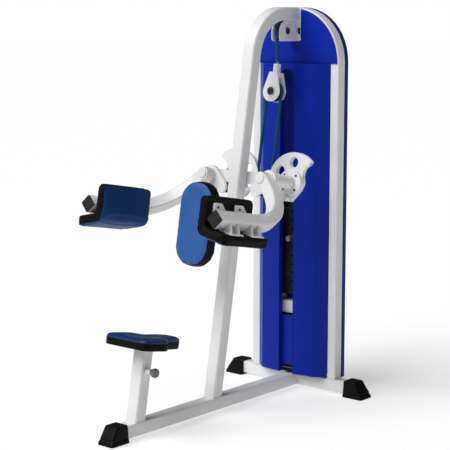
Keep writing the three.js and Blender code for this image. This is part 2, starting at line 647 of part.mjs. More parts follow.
function addSeat(machine) {
  const post = leaning(machine, 0, SEAT_FOOT_Y, BEAM_TOP);
  const half = POST_DEPTH / 2;
  const slope = Math.tan(LEAN);
  const foot = GAP / Math.cos(LEAN);
  const side = [[-half, foot - half * slope], [half, foot + half * slope], [half, SEAT_TUBE_TOP],
    [-half, SEAT_TUBE_TOP]].map(([t, h]) => new THREE.Vector2(t, h));
  const pocket = prism('z', box2(27.8, 26.8, 3), 16, SEAT_TUBE_TOP + 5);
  const collar = rod('x', 0, SEAT_PIN_H, 13, TUBE / 2 - 2, 60);
  const body = join(prism('x', side, -TUBE / 2, TUBE / 2, { bevel: 4 }), collar);
  const outer = cut(body, pocket, rod('x', 0, SEAT_PIN_H, 6.4, 20, 70, 16));
  add(post, 'seat_post_outer', outer, PAINT);
  add(post, 'seat_post_inner', prism('z', box2(27.5, 26.5, 3), 62, SEAT_BASE_H - GAP), PAINT);
  const pin = turned('x', [[0, 28.2], [6, 28.2], [6, 66], [17, 68], [19.5, 74], [19.5, 84],
    [16, 88], [0, 88]], 0, SEAT_PIN_H, 24);
  add(post, 'seat_pull_pin', pin, GREY);
  const base = prism('z', seatOutline(-3), SEAT_BASE_H, SEAT_BASE_H + 28, { bevel: 3 });
  add(post, 'seat_base', base, BLACK);
  const cushion = prism('z', seatOutline(0), SEAT_BASE_H + 28 + GAP, 358, { bevel: 6 });
  add(post, 'seat_cushion', cushion, PAD_BLUE);
}

const group = new THREE.Group();
const machine = new THREE.Group();
machine.position.y = FRAME_Y;
group.add(machine);
addBase(machine);
addFrame(machine);
addCovers(machine);
addStack(machine);
addSelector(machine);
addTopPulleys(machine);
addTopCable(machine);
addPulleyBlock(machine);
addCrossbar(machine);
addArms(machine);
addChestPad(machine);
addSeat(machine);

export default group;
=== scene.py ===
import json
import math

import bmesh
import bpy
from mathutils import Matrix, Vector


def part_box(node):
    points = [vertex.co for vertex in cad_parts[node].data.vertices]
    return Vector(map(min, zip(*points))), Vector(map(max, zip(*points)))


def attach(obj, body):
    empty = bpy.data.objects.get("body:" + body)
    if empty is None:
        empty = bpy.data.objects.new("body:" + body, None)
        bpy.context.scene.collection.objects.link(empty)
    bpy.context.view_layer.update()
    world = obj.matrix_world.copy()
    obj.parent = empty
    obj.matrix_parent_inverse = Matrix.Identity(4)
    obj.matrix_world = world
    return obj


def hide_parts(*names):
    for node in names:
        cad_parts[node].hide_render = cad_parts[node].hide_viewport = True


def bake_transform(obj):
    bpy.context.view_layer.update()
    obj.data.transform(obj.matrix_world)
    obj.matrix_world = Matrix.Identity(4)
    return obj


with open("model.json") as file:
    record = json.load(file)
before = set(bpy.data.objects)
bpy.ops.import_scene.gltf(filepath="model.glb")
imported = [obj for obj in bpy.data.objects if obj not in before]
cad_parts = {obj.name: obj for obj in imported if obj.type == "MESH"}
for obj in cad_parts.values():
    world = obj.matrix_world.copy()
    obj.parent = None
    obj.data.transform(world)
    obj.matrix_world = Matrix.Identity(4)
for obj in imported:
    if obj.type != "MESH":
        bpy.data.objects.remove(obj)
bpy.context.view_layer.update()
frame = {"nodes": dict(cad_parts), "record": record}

# Seated lateral raise machine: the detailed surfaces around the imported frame.
# Local shapes are in millimetres in the CAD's own sub-frames, and are baked to metres when made.

MM = 0.001

# ---- Driving sizes, as in the CAD ----
FRAME_Y = 582.65
LEAN = math.atan(0.178)
AXLE_X = 165.0
HUB_Y = -458.0
HUB_Z = 1038.0
SEAT_FOOT_Y = -1061.15
POST_FOOT_Y = -574.4
BEAM_TOP = 67.0
BEAM_FRONT = -1143.0
CROSS_HALF = 302.0
ARCH_DEPTH = 52.5
ARCH_CENTRE_Z = 1522.0
TUBE = 60.0
POST_DEPTH = 58.3
CABLE_S = 242.0
CABLE_R = 7.0
GROOVE_HALF = CABLE_R + 0.3
CAM_CABLE_R = 124.0
TOP_AXLE_Z = 1660.0
TOP_AXLE_Y = (-94.5, -9.5)
TOP_WHEEL_R = 39.5
BLOCK_AXLE_W = 401.0
BLOCK_WHEEL_R = 41.0
BLOCK_TOP_W = 526.0
STACK_Y = 30.0
ROD_TOP_Z = 923.0
PAD_FRONT_S = -489.0
PAD_BACK_S = -192.0
PAD_INNER_U = 101.0
PAD_OUTER_U = 253.0
PAD_TOP_W = -99.5
PAD_LOW_W = -261.0
PAD_THICK = 44.0
PAD_SLOPE = math.tan(math.radians(12.5))
PAD_BEND = 32.0
CHEST_FACE_S = -207.0
CHEST_BACK_S = -150.0
CHEST_HALF = 93.0
CHEST_ROUND = 88.0
CHEST_LOW_W = -408.0
CHEST_HIGH_W = -43.0
SEAT_PIN_H = 212.0
SEAT_BASE_H = 308.0
SEAT_TOP_H = 358.0
SEAT_REAR_T = -128.0
SEAT_NOSE_T = 193.0
SEAT_HALF = 127.0
SEAT_WAIST_HALF = 86.0
SLOT_HALF = 40.0
SLOT_TOP = 1493.0
SHROUD_BOTTOM = 73.0
SHROUD_FACE_Y = -54.6
CHANNEL_FACE_Y = -33.9
COVER_BACK_Y = 76.8
COVER_SCREW_OFF = 222.0
BRACKET_HALF = 31.0
BLOCK_HALF = 29.0
FLANGE_S = 214.0
FLANGE_BOLTS_R = 45.0
PAD_BRACKET_U = 157.0
PAD_BRACKETS_S = (-412.0, -279.0)
CAP_GAP = 0.3
SHARP = math.radians(42)
SIDES = ("right", "left")

# ---- Sub-frames ----
TOWER = Matrix.Translation((0, FRAME_Y, 0))
TILT = Matrix.Rotation(-LEAN, 4, "X")
HUB = TOWER @ Matrix.Translation((0, HUB_Y, HUB_Z)) @ TILT
SEAT = TOWER @ Matrix.Translation((0, SEAT_FOOT_Y, BEAM_TOP)) @ TILT
MIRROR = Matrix.Scale(-1, 4, (1, 0, 0))
AXLE = {
    "right": TOWER @ Matrix.Translation((AXLE_X, HUB_Y, HUB_Z)) @ TILT,
    "left": TOWER @ Matrix.Translation((-AXLE_X, HUB_Y, HUB_Z)) @ TILT @ MIRROR,
}
ALONG_Y = Matrix.Rotation(-math.pi / 2, 4, "X")
ALONG_X = Matrix.Rotation(math.pi / 2, 4, "Y")
BODY_OF = {node: body for body, nodes in frame["record"]["behaviour"]["bodies"].items()
           for node in nodes}


def srgb(red, green, blue):
    """Linear colour from 0-255 display values."""
    def linear(value):
        value /= 255
        return value / 12.92 if value <= 0.04045 else ((value + 0.055) / 1.055) ** 2.4
    return linear(red), linear(green), linear(blue), 1.0


# ---- Materials ----
def surface(name, colour, rough, metallic=0.0, coat=0.0, grain=600.0, bump=0.05, blotch=0.06,
            stretch=(1, 1, 1), specular=0.5, cells=False):
    """Procedural material: mottled colour, uneven gloss and a fine grain in the bump."""
    made = bpy.data.materials.new(name)
    made.use_nodes = True
    nodes = made.node_tree.nodes
    link = made.node_tree.links.new
    shader = nodes["Principled BSDF"]
    shader.inputs["Metallic"].default_value = metallic
    shader.inputs["Coat Weight"].default_value = coat
    shader.inputs["Coat Roughness"].default_value = 0.12
    shader.inputs["Specular IOR Level"].default_value = specular
    place = nodes.new("ShaderNodeTexCoord")
    scale = nodes.new("ShaderNodeMapping")
    scale.inputs["Scale"].default_value = stretch
    link(place.outputs["Object"], scale.inputs["Vector"])
    mottle = nodes.new("ShaderNodeTexNoise")
    mottle.inputs["Scale"].default_value = 14.0
    mottle.inputs["Detail"].default_value = 6.0
    link(scale.outputs["Vector"], mottle.inputs["Vector"])
    tint = nodes.new("ShaderNodeValToRGB")
    dark, light = tint.color_ramp.elements
    dark.position = 0.3
    light.position = 0.7
    dark.color = [channel * (1 - blotch) for channel in colour[:3]] + [1]
    light.color = [min(1, channel * (1 + blotch)) for channel in colour[:3]] + [1]
    link(mottle.outputs["Fac"], tint.inputs["Fac"])
    link(tint.outputs["Color"], shader.inputs["Base Color"])
    gloss = nodes.new("ShaderNodeMapRange")
    gloss.inputs["To Min"].default_value = max(0.03, rough - 0.07)
    gloss.inputs["To Max"].default_value = rough + 0.07
    link(mottle.outputs["Fac"], gloss.inputs["Value"])
    link(gloss.outputs["Result"], shader.inputs["Roughness"])
    fine = nodes.new("ShaderNodeTexVoronoi" if cells else "ShaderNodeTexNoise")
    fine.inputs["Scale"].default_value = grain
    link(scale.outputs["Vector"], fine.inputs["Vector"])
    relief = nodes.new("ShaderNodeBump")
    relief.inputs["Strength"].default_value = bump
    relief.inputs["Distance"].default_value = 0.001
    link(fine.outputs["Distance" if cells else "Fac"], relief.inputs["Height"])
    link(relief.outputs["Normal"], shader.inputs["Normal"])
    return made


FINISH = {
    "frame_paint": surface("white_powder_coat", srgb(223, 223, 223), 0.34, coat=0.15, grain=420,
                           bump=0.10, blotch=0.012),
    "shroud_blue": surface("blue_gloss_shell", srgb(0, 36, 150), 0.4, grain=260, bump=0.04,
                           blotch=0.04, specular=0.12),
    "rear_blue": surface("dark_blue_shell", srgb(0, 28, 128), 0.4, grain=260, bump=0.04,
                         specular=0.12),
    "chest_vinyl": surface("chest_vinyl", srgb(38, 86, 150), 0.5, grain=900, bump=0.3,
                           blotch=0.05, specular=0.25, cells=True),
    "pad_vinyl": surface("pad_vinyl", srgb(16, 58, 112), 0.5, grain=900, bump=0.3, blotch=0.06,
                         specular=0.12, cells=True),
    "black_plastic": surface("black_moulding", srgb(5, 5, 5), 0.5, grain=1400, bump=0.25,
                             specular=0.12),
    "black_rubber": surface("black_rubber", srgb(9, 9, 9), 0.7, grain=700, bump=0.3,
                            specular=0.2),
    "grey_plastic": surface("grey_moulding", srgb(20, 20, 21), 0.5, grain=1300, bump=0.25,
                            specular=0.3),
    "chrome_steel": surface("plated_steel", srgb(205, 207, 210), 0.2, metallic=1.0, grain=160,
                            bump=0.04, stretch=(1, 1, 0.06)),
    "plate_iron": surface("plate_enamel", srgb(20, 21, 24), 0.5, grain=240, bump=0.3,
                          blotch=0.12, specular=0.3),
    "cable_jacket": surface("cable_jacket", srgb(0, 74, 98), 0.4, grain=500, bump=0.06,
                            specular=0.2),
    "white_rubber": surface("white_rubber", srgb(206, 206, 206), 0.65, grain=700, bump=0.2),
}
BLACK_VINYL = surface("black_vinyl", srgb(4, 4, 4), 0.55, grain=900, bump=0.3, blotch=0.1,
                      specular=0.1, cells=True)
SADDLE_VINYL = surface("saddle_vinyl", srgb(4, 46, 92), 0.45, grain=900, bump=0.05, blotch=0.02,
                       specular=0.3, cells=True)
KNOB_GREY = surface("knob_grey", srgb(104, 106, 110), 0.4, grain=900, bump=0.12)
AXLE_DARK = surface("blackened_steel", srgb(44, 44, 47), 0.5, grain=500, bump=0.1, specular=0.2)
# Much lighter blue than the rear cover: painted light standing in for light inside the shroud, seen
# through the slot.
PAINTED_LIGHT_LINER_BLUE = surface("liner_blue_painted_light", srgb(60, 95, 255), 0.6, grain=260, bump=0.04, specular=0.2)


# ---- Mesh helpers ----
def skin(rings, closed=False):
    """Surface through rings of equal point count, capped at both ends unless it closes on itself."""
    bm = bmesh.new()
    rows = [[bm.verts.new(point) for point in ring] for ring in rings]
    pairs = list(zip(rows, rows[1:]))
    if closed:
        pairs.append((rows[-1], rows[0]))
    for low, high in pairs:
        for i, corner in enumerate(low):
            j = (i + 1) % len(low)
            bm.faces.new((corner, low[j], high[j], high[i]))
    if not closed:
        bm.faces.new(rows[0])
        bm.faces.new(rows[-1])
    return bm


def arc(cx, cy, radius, start, end, steps):
    """Points round a centre, from one angle to another in degrees."""
    angles = [math.radians(start + (end - start) * k / steps) for k in range(steps + 1)]
    return [(cx + radius * math.cos(a), cy + radius * math.sin(a)) for a in angles]


def rounded(corners, steps=6):
    """Outline through (x, y, radius) corners, each rounded to its own radius."""
    points = []
    for i, (x, y, radius) in enumerate(corners):
        corner = Vector((x, y))
        if not radius:
            points.append((x, y))
            continue
        back = (Vector(corners[i - 1][:2]) - corner).normalized()
        ahead = (Vector(corners[(i + 1) % len(corners)][:2]) - corner).normalized()
        half = back.angle(ahead) / 2
        centre = corner + (back + ahead).normalized() * radius / math.sin(half)
        start = corner + back * radius / math.tan(half) - centre
        end = corner + ahead * radius / math.tan(half) - centre
        turn = math.atan2(start.x * end.y - start.y * end.x, start.dot(end))
        first = math.atan2(start.y, start.x)
        for k in range(steps + 1):
            a = first + turn * k / steps
            points.append((centre.x + radius * math.cos(a), centre.y + radius * math.sin(a)))
    return points


def lathe(profile, sides=40, closed=False, flutes=0):
    """Body turned about local Z from (radius, station) pairs; a third value is a flute depth."""
    rings = []
    for radius, station, *depth in profile:
        depth = depth[0] if depth else 0
        ring = []
        for k in range(sides):
            a = 2 * math.pi * k / sides
            r = radius - depth * (0.5 + 0.5 * math.cos(flutes * a))
            ring.append((r * math.cos(a), r * math.sin(a), station))
        rings.append(ring)
    return skin(rings, closed)


def tube(path, radius, sides=12, closed=False):
    """Round tube along a path, with its frame carried along so that it doesn't twist."""
    points = [Vector(point) for point in path]
    count = len(points)
    aheads = []
    for i, point in enumerate(points):
        before = points[i - 1] if closed or i else point
        after = points[(i + 1) % count] if closed or i < count - 1 else point
        aheads.append((after - before).normalized())
    normals = [aheads[0].orthogonal().normalized()]
    for ahead in aheads[1:] + aheads[:1]:
        last = normals[-1]
        normals.append((last - ahead * last.dot(ahead)).normalized())
    wrap = normals.pop()
    twist = 0.0
    if closed:
        twist = math.atan2(wrap.cross(normals[0]).dot(aheads[0]), wrap.dot(normals[0]))
    rings = []
    for i, (point, ahead, normal) in enumerate(zip(points, aheads, normals)):
        side = ahead.cross(normal)
        turn = twist * i / count
        ring = []
        for k in range(sides):
            a = turn + 2 * math.pi * k / sides
            ring.append(point + radius * (math.cos(a) * normal + math.sin(a) * side))
        rings.append(ring)
    return skin(rings, closed)


def merged(*parts):
    """One mesh from several (bmesh, matrix) parts."""
    whole = bmesh.new()
    for part, at in parts:
        bmesh.ops.transform(part, matrix=at, verts=part.verts)
        scratch = bpy.data.meshes.new("scratch")
        part.to_mesh(scratch)
        part.free()
        whole.from_mesh(scratch)
        bpy.data.meshes.remove(scratch)
    return whole


def settle(name, bm, at, *finishes):
    """Mesh object in metres from a local shape in millimetres, with outward normals."""
    bmesh.ops.transform(bm, matrix=Matrix.Scale(MM, 4) @ at, verts=bm.verts)
    bmesh.ops.recalc_face_normals(bm, faces=bm.faces)
    return enter(name, bm, *finishes)


def enter(name, bm, *finishes):
    """Object in the scene from a shape already in metres."""
    mesh = bpy.data.meshes.new(name)
    bm.to_mesh(mesh)
    bm.free()
    mesh.shade_smooth()
    mesh.set_sharp_from_angle(angle=SHARP)
    piece = bpy.data.objects.new(name, mesh)
    bpy.context.scene.collection.objects.link(piece)
    for finish in finishes:
        mesh.materials.append(finish)
    return piece


def soften(piece, width):
    """Rounds the sharp edges of a piece by width, in millimetres."""
    bevel = piece.modifiers.new("Rounded edges", "BEVEL")
    bevel.width = width * MM
    bevel.segments = 2
    bevel.limit_method = "ANGLE"
    bevel.angle_limit = SHARP
    bevel.harden_normals = True
    return piece


def place(piece, body, slot, *nodes):
    """Gives a piece its body, and hides the CAD nodes it stands for; the material slot is not used.
    """
    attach(piece, body)
    if nodes:
        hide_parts(*nodes)
    return piece


def freeze(piece):
    """Applies the piece's modifiers."""
    graph = bpy.context.evaluated_depsgraph_get()
    shaped = bpy.data.meshes.new_from_object(piece.evaluated_get(graph))
    piece.modifiers.clear()
    piece.data = shaped


# ---- Painted and moulded parts: the CAD's solids with welded skins and rounded edges ----
def refine(node, slot, bevel):
    """Welded, smooth copy of a CAD node with rounded edges, standing for it."""
    bm = bmesh.new()
    bm.from_mesh(frame["nodes"][node].data)
    bmesh.ops.remove_doubles(bm, verts=bm.verts, dist=2e-6)
    bmesh.ops.dissolve_limit(bm, angle_limit=math.radians(0.4), verts=bm.verts, edges=bm.edges)
    piece = enter(f"{node}_skin", bm, FINISH[slot])
    return place(soften(piece, bevel), BODY_OF[node], slot, node)


def refine_all():
    """Every CAD node that keeps its own shape, by finish and edge radius."""
    rows = [
        ("frame_paint", 1.2, ["main_beam", "rear_cross_beam", "front_post", "arch_column",
                              "stack_support_beam", "pulley_bracket", "block_yoke",
                              "arm_crossbar", "seat_post_outer", "seat_post_inner"]),
        ("frame_paint", 1.0, [f"{part}_{side}" for part in ("arm_tube", "cam") for side in SIDES]),
        ("shroud_blue", 0.8, ["front_shroud", "upper_cover"]),
        ("rear_blue", 1.2, ["rear_cover"]),
        ("plate_iron", 1.6, ["weight_head"] + [f"weight_plate_{i:02d}" for i in range(1, 11)]),
        ("chrome_steel", 0.8, ["guide_rod_right", "guide_rod_left"]),
        ("white_rubber", 2.0, ["stack_bumper_right", "stack_bumper_left"]),
        ("black_rubber", 1.5, ["stop_bumper_right", "stop_bumper_left"]),
        ("grey_plastic", 1.5, ["arm_end_cap_right", "arm_end_cap_left"]),
    ]
    for slot, bevel, nodes in rows:
        for node in nodes:
            refine(node, slot, bevel)


def add_shafts():
    """Plated arm shafts whose round heads are painted with the arms."""
    for side in SIDES:
        piece = refine(f"arm_shaft_{side}", "chrome_steel", 0.8)
        piece.data.materials.append(FINISH["frame_paint"])
        local = (Matrix.Scale(MM, 4) @ AXLE[side]).inverted()
        for polygon in piece.data.polygons:
            polygon.material_index = int((local @ polygon.center).y < 5)


# ---- Foot caps ----
def cap_outline(half, reach, groove):
    """Cap section with corners rounded at the outer end and grooves cut into that end."""
    corner = 12.0
    groove_pitch = 21.0
    steps = 36
    right = [(half, 0.0)] + arc(half - corner, reach - corner, corner, 0, 90, 6)
    end = []
    for k in range(1, steps):
        x = (half - corner) * (1 - 2 * k / steps)
        notch = max(0.0, math.cos(2 * math.pi * x / groove_pitch)) ** 3
        end.append((x, reach - groove * notch))
    left = [(-x, y) for x, y in reversed(right)]
    return right + end + left


def foot_cap(name, at, top_reach, foot_reach, node):
    """Moulded cap that grips the tube's end and spreads into a grooved foot."""
    flare_low, flare_half, flare_reach = 26, 40.6, foot_reach - 10
    levels = [(0, 42.5, foot_reach - 1.5, 5), (1.5, 44, foot_reach, 5),
              (13, 43.6, foot_reach - 3, 5), (17, 42, foot_reach - 6, 3),
              (21, 40, foot_reach - 9.5, 0), (flare_low, flare_half, flare_reach, 0)]
    for share in (0.2, 0.4, 0.6, 0.8, 1.0):
        levels.append((flare_low + 40 * share, flare_half - 3.6 * share,
                       flare_reach + (top_reach + 14 - foot_reach) * share, 0))
    levels += [(70.5, 36.2, top_reach + 2.4, 0), (73.8, 34.4, top_reach - 0.4, 0),
               (75, 31.5, top_reach - 4.5, 0)]
    rings = [[(x, y, z) for x, y in cap_outline(half, reach, groove)]
             for z, half, reach, groove in levels]
    piece = settle(name, skin(rings), TOWER @ at, FINISH["black_plastic"])
    return place(soften(piece, 0.7), "frame", "black_plastic", node)


def add_foot_caps():
    """One cap in front and one at each end of the rear cross beam."""
    half_turn = Matrix.Rotation(math.pi, 4, "Z")
    front = Matrix.Translation((0, BEAM_FRONT - CAP_GAP, 0)) @ half_turn
    foot_cap("front_foot_cap", front, 63, 99, "foot_cap_front")
    side = (Matrix.Translation((CROSS_HALF + CAP_GAP, ARCH_DEPTH / 2, 0))
            @ Matrix.Rotation(-math.pi / 2, 4, "Z"))
    foot_cap("right_foot_cap", side, 62, 104, "foot_cap_right")
    foot_cap("left_foot_cap", MIRROR @ side, 62, 104, "foot_cap_left")


# ---- Upholstery ----
def inflate(piece, held, cap):
    """Blows the closed form up as stuffed cloth, moving no point further than cap (metres)."""
    graph = bpy.context.evaluated_depsgraph_get()
    rest = [vertex.co.copy() for vertex in piece.data.vertices]
    pins = piece.vertex_groups.new(name="held")
    pins.add([i for i, point in enumerate(rest) if held(point)], 1.0, "REPLACE")
    cloth = piece.modifiers.new("Cloth", "CLOTH")
    cloth.settings.vertex_group_mass = "held"
    cloth.settings.use_pressure = True
    cloth.settings.uniform_pressure_force = 4.0
    cloth.settings.effector_weights.gravity = 0.0
    cloth.point_cache.frame_end = 20
    for step in range(1, 21):
        bpy.context.scene.frame_set(step)
    shaped = piece.evaluated_get(graph).data
    moved = [vertex.co.copy() for vertex in shaped.vertices]
    piece.modifiers.remove(cloth)
    bpy.context.scene.frame_set(1)
    for vertex, was, now in zip(piece.data.vertices, rest, moved):
        shift = now - was
        vertex.co = was + shift * min(1.0, cap / max(shift.length, 1e-9))


def stuffed(name, bm, at, held, faced, covers, cap, shape=None, voxel=6.0):
    """Stuffed pad in two coverings: faced says where the second one lies, in local millimetres."""
    piece = settle(name, bm, at, *covers)
    remesh = piece.modifiers.new("Even mesh", "REMESH")
    remesh.mode = "VOXEL"
    remesh.voxel_size = voxel * MM
    freeze(piece)
    local = (Matrix.Scale(MM, 4) @ at).inverted()
    inflate(piece, lambda point: held(local @ point), cap * MM)
    piece.modifiers.new("Round", "SUBSURF").levels = 1
    freeze(piece)
    for polygon in piece.data.polygons:
        polygon.use_smooth = True
        polygon.material_index = int(faced(local @ polygon.center))
    if shape:
        for vertex in piece.data.vertices:
            vertex.co = local.inverted() @ shape(local @ vertex.co)
    return piece


def cover_seams(piece):
    """Loops of points where the two coverings of a pad meet, smoothed on its surface."""
    kinds = {}
    for polygon in piece.data.polygons:
        for key in polygon.edge_keys:
            kinds.setdefault(key, set()).add(polygon.material_index)
    links = {}
    for (a, b), found in sorted(kinds.items()):
        if len(found) > 1:
            links.setdefault(a, []).append(b)
            links.setdefault(b, []).append(a)
    loops = []
    while links:
        here = min(links)
        loop = []
        while links.get(here):
            loop.append(piece.data.vertices[here].co.copy())
            ahead = links[here].pop()
            links[ahead].remove(here)
            if not links[here]:
                del links[here]
            here = ahead
        links = {point: near for point, near in links.items() if near}
        if len(loop) > 80:
            loops.append(smooth_loop(piece, loop))
    return loops


def smooth_loop(piece, loop):
    """Evened-out loop, laid back on the piece's surface, in millimetres."""
    for _ in range(60):
        count = len(loop)
        loop = [(loop[i - 1] + loop[i] * 2 + loop[(i + 1) % count]) / 4 for i in range(count)]
    return [piece.closest_point_on_mesh(point)[1] / MM for point in loop[::3]]


def pipe_seams(piece, name, body, slot):
    """Welted seam where the coverings meet."""
    beads = [(tube(loop, 1.5, 8, closed=True), Matrix.Identity(4)) for loop in cover_seams(piece)]
    if beads:
        welt = settle(name, merged(*beads), Matrix.Identity(4), BLACK_VINYL)
        place(welt, body, slot)


def mirror_piece(piece, name):
    """Copy of a right-hand piece on the left side."""
    bm = bmesh.new()
    bm.from_mesh(piece.data)
    bmesh.ops.transform(bm, matrix=MIRROR, verts=bm.verts)
    bmesh.ops.reverse_faces(bm, faces=bm.faces)
    return enter(name, bm, *piece.data.materials)


def add_chest_pad():
    """Racetrack pad with a crowned blue face on a black border and back."""
    corners = [(CHEST_HALF, CHEST_LOW_W), (CHEST_HALF, CHEST_HIGH_W),
               (-CHEST_HALF, CHEST_HIGH_W), (-CHEST_HALF, CHEST_LOW_W)]
    outline = rounded([(x, w, CHEST_ROUND) for x, w in corners], 12)
    body = skin([[(x, s, w) for x, w in outline]
                 for s in (CHEST_FACE_S + 3, CHEST_BACK_S - 0.5)])
    pad = stuffed("chest_pad", body, HUB, lambda p: p.y > CHEST_BACK_S - 8,
                  lambda p: p.y < CHEST_FACE_S + 8, (BLACK_VINYL, FINISH["chest_vinyl"]), 5)
    place(pad, "frame", "chest_vinyl", "chest_pad_cushion", "chest_pad_board")
    pipe_seams(pad, "chest_pad_welt", "frame", "black_plastic")


def pad_face(u):
    """Height of the underside of an arm pad's lower leg."""
    return PAD_LOW_W - (u - PAD_INNER_U) * PAD_SLOPE


def pad_ring(s, inset, drop):
    """Section of an arm pad across the arm; drop shortens both legs toward the pad's ends."""
    fall = math.hypot(1, PAD_SLOPE)
    inner, back = PAD_INNER_U + inset, PAD_INNER_U + PAD_THICK - 0.5
    top, outer = PAD_TOP_W - drop, PAD_OUTER_U - drop
    low = pad_face(PAD_INNER_U) + inset * fall
    high = pad_face(PAD_INNER_U) + (PAD_THICK - 0.5) * fall
    corners = [(inner, top, 3), (inner, low - (inner - PAD_INNER_U) * PAD_SLOPE, PAD_BEND),
               (outer, low - (outer - PAD_INNER_U) * PAD_SLOPE, 3),
               (outer, high - (outer - PAD_INNER_U) * PAD_SLOPE, 3),
               (back, high - (back - PAD_INNER_U) * PAD_SLOPE, 8), (back, top, 3)]
    return [(u, s, w) for u, w in rounded(corners, 6)]


def pad_depth(point):
    """Depth of a point behind the arm pad's outer face, allowing for its rounded bend."""
    below = (point.z - pad_face(point.x)) / math.hypot(1, PAD_SLOPE)
    across = point.x - PAD_INNER_U
    if max(below, across) < PAD_BEND:
        return PAD_BEND - math.hypot(PAD_BEND - below, PAD_BEND - across)
    return min(across, below)


def add_arm_pads():
    """Angled pads under the upper arms, blue on the faces that touch the user."""
    steps = [(0, 25), (1, 18.1), (2.5, 14.1), (5, 10), (8, 6.7), (12, 3.7), (18, 1), (25, 0)]
    front = [(PAD_FRONT_S + 1.5 + far, drop) for far, drop in steps]
    back = [(PAD_BACK_S - 1.5 - far, drop) for far, drop in reversed(steps)]
    rings = [pad_ring(s, 2.5, drop) for s, drop in front + back]
    pad = stuffed("arm_pad_right", skin(rings), AXLE["right"], lambda p: pad_depth(p) > 36,
                  lambda p: pad_depth(p) < 7.5, (BLACK_VINYL, FINISH["pad_vinyl"]), 4)
    twin = mirror_piece(pad, "arm_pad_left")
    for side, piece in (("right", pad), ("left", twin)):
        place(piece, f"arm_{side}", "pad_vinyl", f"arm_pad_cushion_{side}",
              f"arm_pad_board_{side}")
        pipe_seams(piece, f"arm_pad_welt_{side}", f"arm_{side}", "black_plastic")


def bezier(a, b, c, d, steps):
    """Points of a cubic curve after its first one."""
    points = []
    for k in range(1, steps + 1):
        t = k / steps
        points.append(tuple((1 - t) ** 3 * a[i] + 3 * (1 - t) ** 2 * t * b[i]
                            + 3 * (1 - t) * t ** 2 * c[i] + t ** 3 * d[i] for i in (0, 1)))
    return points


def seat_outline(grow):
    """Saddle outline: broad behind, waisted, with a tapering nose toward the tower."""
    rear, nose = SEAT_REAR_T - grow, SEAT_NOSE_T + grow
    side, waist = SEAT_HALF + grow, SEAT_WAIST_HALF + grow
    half = [(0, rear), (70, rear)]
    half += bezier((70, rear), (112, rear), (side, -108), (side, -66), 10)
    half += [(side, -8)]
    half += bezier((side, -8), (side, 26), (waist + 10, 34), (waist, 58), 12)
    half += [(waist - 14, 128)]
    half += bezier((waist - 14, 128), (waist - 20, 146), (42, nose - 15), (16, nose), 10)
    half += [(0, nose)]
    return half + [(-x, t) for x, t in reversed(half[1:-1])]


def dish(point):
    """Hollows the saddle's top along its middle, leaving a rolled edge."""
    if point.z < SEAT_TOP_H - 12:
        return point
    hollow = math.exp(-(point.x / 66) ** 2 - ((point.y + 5) / 110) ** 2)
    return point - Vector((0, 0, 9.0 * hollow))


def add_seat():
    """Rolled blue saddle cushion on a deep black base."""
    low = SEAT_BASE_H + 28.3
    levels = [(low, -5), (low + 3, -3), (low + 8, -3), (low + 12, -6), (low + 15, -10),
              (low + 17.5, -16), (low + 18.8, -24)]
    rings = [[(x, t, h) for x, t in seat_outline(grow)] for h, grow in levels]
    pad = stuffed("saddle", skin(rings), SEAT, lambda p: p.z < low + 4, lambda p: True,
                  (BLACK_VINYL, SADDLE_VINYL), 5, dish, 5.0)
    place(pad, "seat", "pad_vinyl", "seat_cushion")
    welt = tube([(x, t, low - 1) for x, t in seat_outline(-5)], 2.2, 10, closed=True)
    place(settle("saddle_welt", welt, SEAT, BLACK_VINYL), "seat", "black_plastic")
    levels = [(SEAT_BASE_H, -7), (SEAT_BASE_H + 3, -4), (low - 4, -3), (low - 1, -4)]
    rings = [[(x, t, h) for x, t in seat_outline(grow)] for h, grow in levels]
    base = settle("saddle_base", skin(rings), SEAT, BLACK_VINYL)
    place(soften(base, 1.2), "seat", "black_plastic", "seat_base")


# ---- Pulleys and cables ----
def wheel(radius):
    """Grooved nylon wheel about local Z with a raised hub and rim on each side."""
    rim = radius + 2.5
    half = GROOVE_HALF + 3.2
    side = [(8.3, half), (14, half), (16, half - 2), (rim - 10, half - 2), (rim - 8, half),
            (rim - 1, half), (rim, half - 1)]
    groove = [(radius - GROOVE_HALF * math.cos(a), GROOVE_HALF * math.sin(a))
              for a in (math.radians(70 - 20 * k) for k in range(8))]
    return lathe(side + groove + [(r, -z) for r, z in reversed(side)], 48, closed=True)


def add_wheels():
    """Two wheels in the top bracket and one in the floating block."""
    for y, place_name in zip(TOP_AXLE_Y, ("front", "rear")):
        at = TOWER @ Matrix.Translation((0, y, TOP_AXLE_Z)) @ ALONG_X
        node = f"top_pulley_{place_name}"
        piece = settle(f"top_wheel_{place_name}", wheel(TOP_WHEEL_R), at, FINISH["black_plastic"])
        place(piece, node, "black_plastic", node)
    at = HUB @ Matrix.Translation((0, CABLE_S, BLOCK_AXLE_W)) @ ALONG_Y
    piece = settle("floating_wheel", wheel(BLOCK_WHEEL_R), at, FINISH["black_plastic"])
    place(piece, "block_wheel", "black_plastic", "block_wheel")


def line(start, end, steps):
    """Evenly spaced points of a straight run."""
    start, end = Vector(start), Vector(end)
    return [start.lerp(end, k / steps) for k in range(steps + 1)]


def cable(name, path, at, node=None, body="frame"):
    """Round jacketed cable along a path."""
    piece = settle(name, tube(path, CABLE_R, 16), at, FINISH["cable_jacket"])
    if node:
        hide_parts(node)
    if body:
        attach(piece, body)
    return piece


def stretched(name, path, at, node):
    """Taut run of cable from the frame to a moving body, baked into world space and put on no body.
    """
    piece = cable(name, path, at, node, body=None)
    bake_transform(piece)


